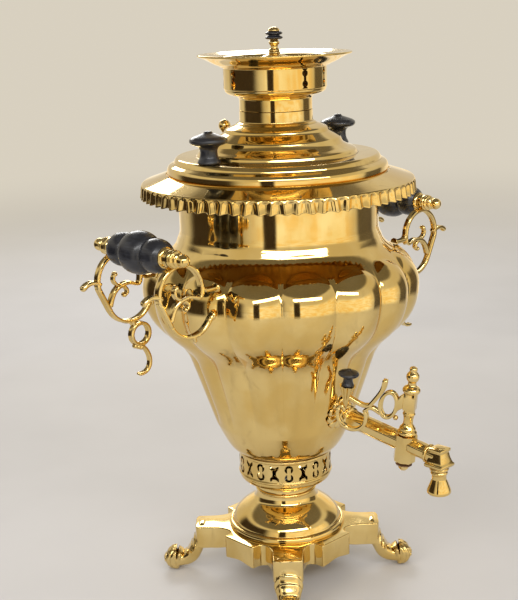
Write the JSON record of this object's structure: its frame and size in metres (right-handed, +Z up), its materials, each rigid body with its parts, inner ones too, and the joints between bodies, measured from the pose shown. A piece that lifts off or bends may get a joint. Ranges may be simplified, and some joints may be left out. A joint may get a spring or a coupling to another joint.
{
  "type": "samovar",
  "caption": "Charcoal samovar: lobed brass urn on a pierced blower and four-footed base, with lifting lid, pot ring, chimney cap, scroll handles and plug tap.",
  "frame": {"origin": "on the urn's upright axis, at table level", "axes": "+Z up along the urn's axis, -Y the side the tap points to, +X and -X towards the two handles, +Y the side of the steam vent"},
  "size_m": [0.3708, 0.3034, 0.4898],
  "materials": {
    "brass_sheet": "polished",
    "brass_cast": "polished, darker in the recesses",
    "brass_turned": "polished",
    "brass_dull": "dull, smoked inside",
    "black_wood": "black stain under polish",
    "steel_screws": "bright",
    "iron_grate": "rough",
    "fibre_washers": "matte"
  },
  "bodies": {
    "urn": {"foot_front_left": "brass_cast", "foot_front_right": "brass_cast", "foot_back_left": "brass_cast", "foot_back_right": "brass_cast", "foot_screws": "steel_screws", "base_plate": "brass_cast", "pedestal": "brass_sheet", "tie_bolt": "steel_screws", "tie_nut": "steel_screws", "blower": "brass_sheet", "grate": "iron_grate", "fire_tube": "brass_dull", "body_shell": "brass_sheet", "pleated_ring": "brass_sheet", "bracket_left_front": "brass_cast", "bracket_left_back": "brass_cast", "bracket_right_front": "brass_cast", "bracket_right_back": "brass_cast", "bracket_nuts": "brass_turned", "grip_left": "black_wood", "grip_right": "black_wood", "grip_ferrules": "brass_turned", "grip_rod_left": "steel_screws", "grip_rod_right": "steel_screws", "grip_nuts": "brass_turned", "tap_rosette": "brass_cast", "tap_body": "brass_cast", "tap_washer": "fibre_washers", "tap_nut": "brass_turned", "tap_spout": "brass_cast"},
    "lid": {"lid": "brass_sheet", "lid_knob_left": "black_wood", "lid_knob_right": "black_wood", "lid_knob_screws": "steel_screws", "vent_seat": "brass_turned"},
    "vent_cap": {"vent_cap": "brass_turned"},
    "crown": {"crown": "brass_sheet"},
    "chimney_cap": {"chimney_cap": "brass_sheet", "cap_stem": "brass_turned", "cap_knob": "black_wood", "cap_tip": "brass_turned"},
    "tap_key": {"tap_key": "brass_turned", "key_washer": "fibre_washers", "key_retainer": "brass_turned", "tap_lever": "brass_cast", "lever_knob": "black_wood", "lever_knob_screw": "steel_screws"}
  },
  "joints": [
    {"name": "lid_lift", "type": "slide", "parent": "urn", "child": "lid", "axis": [0, 0, 1], "range_m": [0, 0.06]},
    {"name": "vent_lift", "type": "slide", "parent": "lid", "child": "vent_cap", "axis": [0, 0, 1], "range_m": [0, 0.006]},
    {"name": "crown_lift", "type": "slide", "parent": "lid", "child": "crown", "axis": [0, 0, 1], "range_m": [0, 0.036]},
    {"name": "cap_lift", "type": "slide", "parent": "crown", "child": "chimney_cap", "axis": [0, 0, 1], "range_m": [0, 0.04]},
    {"name": "tap_turn", "type": "hinge", "parent": "urn", "child": "tap_key", "pos_m": [0, -0.14021, 0.15641], "axis": [0, -0.1219, 0.9925], "range_deg": [0, 90]}
  ]
}
